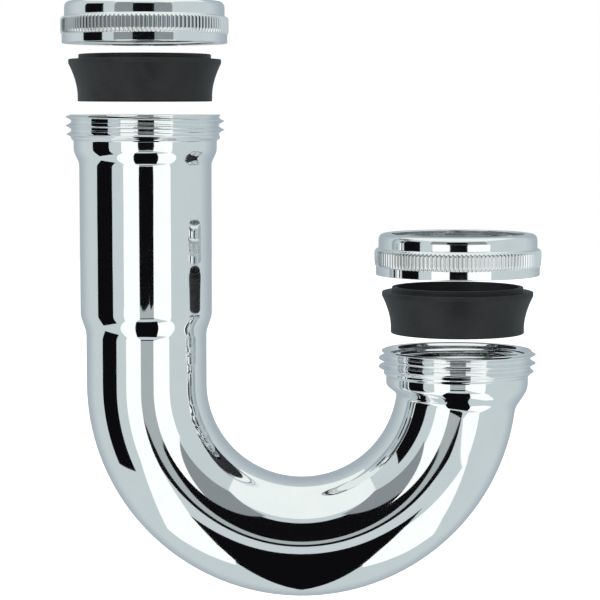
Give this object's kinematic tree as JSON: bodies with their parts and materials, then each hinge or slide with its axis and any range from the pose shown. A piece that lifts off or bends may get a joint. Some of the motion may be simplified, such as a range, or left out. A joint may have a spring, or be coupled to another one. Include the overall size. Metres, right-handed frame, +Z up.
{
  "type": "waste trap",
  "caption": "Chromed tubular waste trap bent to a U, with a threaded collar at each end, and a knurled slip nut and a cone seal lifted off each collar.",
  "frame": {"origin": "top of the inlet socket's parallel bore, on its axis, where the basin's pipe goes in", "axes": "+Z up along the inlet leg, against the way the pipe goes in; +X from the inlet to the outlet; +Y across the plane of the U"},
  "size_m": [0.1272, 0.0442, 0.1588],
  "materials": {
    "chrome_tube": "bright polished chrome plating on brass",
    "chrome_nut": "bright chrome plating, straight knurl",
    "seal_rubber": "moulded black rubber, satin"
  },
  "bodies": {
    "trap": {"trap_bend": "chrome_tube"},
    "inlet_nut": {"inlet_nut": "chrome_nut"},
    "inlet_seal": {"inlet_seal": "seal_rubber"},
    "outlet_nut": {"outlet_nut": "chrome_nut"},
    "outlet_seal": {"outlet_seal": "seal_rubber"}
  },
  "joints": [
    {"name": "inlet_nut_screw_on", "type": "slide", "parent": "trap", "child": "inlet_nut", "axis": [0, 0, 1], "range_m": [-0.0235, 0]},
    {"name": "inlet_seal_press_in", "type": "slide", "parent": "trap", "child": "inlet_seal", "axis": [0, 0, 1], "range_m": [-0.0097, 0]},
    {"name": "outlet_nut_screw_on", "type": "slide", "parent": "trap", "child": "outlet_nut", "axis": [0, 0, 1], "range_m": [-0.0249, 0]},
    {"name": "outlet_seal_press_in", "type": "slide", "parent": "trap", "child": "outlet_seal", "axis": [0, 0, 1], "range_m": [-0.0108, 0]}
  ],
  "couplings": [
    {"joint": "inlet_seal_press_in", "follows": "inlet_nut_screw_on", "ratio": 0.4127},
    {"joint": "outlet_seal_press_in", "follows": "outlet_nut_screw_on", "ratio": 0.4337}
  ]
}
